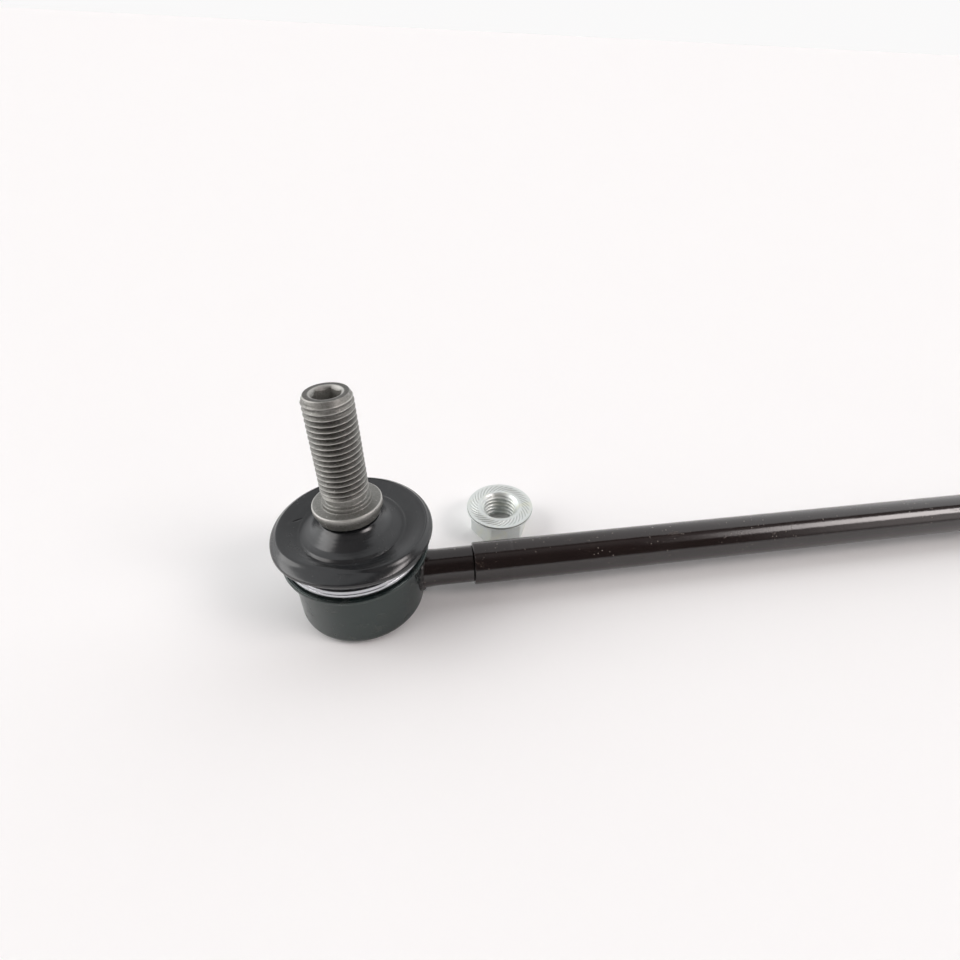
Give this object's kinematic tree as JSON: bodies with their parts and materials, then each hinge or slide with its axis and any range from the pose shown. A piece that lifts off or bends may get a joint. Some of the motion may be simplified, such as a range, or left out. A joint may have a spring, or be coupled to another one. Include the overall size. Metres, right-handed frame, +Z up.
{
  "type": "stabilizer link",
  "caption": "Anti-roll bar link: a straight tube with a booted ball joint and threaded stud at each end, and loose flange nuts.",
  "frame": {"origin": "bottom face of the near closing plate, under the near ball, where the link lies on its surface", "axes": "+X along the tube from the near joint to the far one, +Z up, the way both studs point"},
  "size_m": [0.3146, 0.0454, 0.0553],
  "materials": {
    "tube_paint": "gloss black paint",
    "housing_coat": "dark grey-green satin coating",
    "plate_coat": "dark satin coating",
    "weld_coat": "painted weld",
    "stud_steel": "phosphated steel, dull",
    "boot_rubber": "smooth satin rubber",
    "ring_steel": "bright spring steel",
    "seat_plastic": "natural acetal",
    "bushing_plastic": "black acetal",
    "nut_zinc": "bright zinc plate"
  },
  "bodies": {
    "link": {"link_tube": "tube_paint", "near_stem": "tube_paint", "near_weld_bead": "weld_coat", "near_housing": "housing_coat", "near_closing_plate": "plate_coat", "near_ball_seat": "seat_plastic", "near_boot_clamp_ring": "ring_steel", "far_stem": "tube_paint", "far_weld_bead": "weld_coat", "far_housing": "housing_coat", "far_closing_plate": "plate_coat", "far_ball_seat": "seat_plastic", "far_boot_clamp_ring": "ring_steel"},
    "near_swivel": {"near_dust_boot": "boot_rubber"},
    "near_tilt": {"near_boot_bushing": "bushing_plastic"},
    "near_stud": {"near_ball_stud": "stud_steel"},
    "near_nut": {"near_flange_nut": "nut_zinc"},
    "far_swivel": {"far_dust_boot": "boot_rubber"},
    "far_tilt": {"far_boot_bushing": "bushing_plastic"},
    "far_stud": {"far_ball_stud": "stud_steel"},
    "far_nut": {"far_flange_nut": "nut_zinc"}
  },
  "joints": [
    {"name": "near_stud_swivel", "type": "hinge", "parent": "link", "child": "near_swivel", "pos_m": [0, 0, 0.0102], "axis": [0, 0, 1], "continuous": true},
    {"name": "near_stud_tilt", "type": "hinge", "parent": "near_swivel", "child": "near_tilt", "pos_m": [0, 0, 0.0102], "axis": [-0.9659, -0.2588, 0], "range_deg": [-25.4, 14.6], "deforming": ["near_dust_boot"]},
    {"name": "near_stud_spin", "type": "hinge", "parent": "near_tilt", "child": "near_stud", "pos_m": [0, 0, 0.0102], "axis": [-0.0244, 0.0909, 0.9956], "continuous": true},
    {"name": "near_nut_lift", "type": "slide", "parent": "link", "child": "near_nut", "axis": [0, 0, 1], "range_m": [0, 0.03]},
    {"name": "far_stud_swivel", "type": "hinge", "parent": "link", "child": "far_swivel", "pos_m": [0.28, 0, 0.0102], "axis": [0, 0, 1], "continuous": true},
    {"name": "far_stud_tilt", "type": "hinge", "parent": "far_swivel", "child": "far_tilt", "pos_m": [0.28, 0, 0.0102], "axis": [-0.9848, 0.1736, 0], "range_deg": [-23, 17], "deforming": ["far_dust_boot"]},
    {"name": "far_stud_spin", "type": "hinge", "parent": "far_tilt", "child": "far_stud", "pos_m": [0.28, 0, 0.0102], "axis": [0.0091, 0.0515, 0.9986], "continuous": true},
    {"name": "far_nut_lift", "type": "slide", "parent": "link", "child": "far_nut", "axis": [0, 0, 1], "range_m": [0, 0.03]}
  ]
}
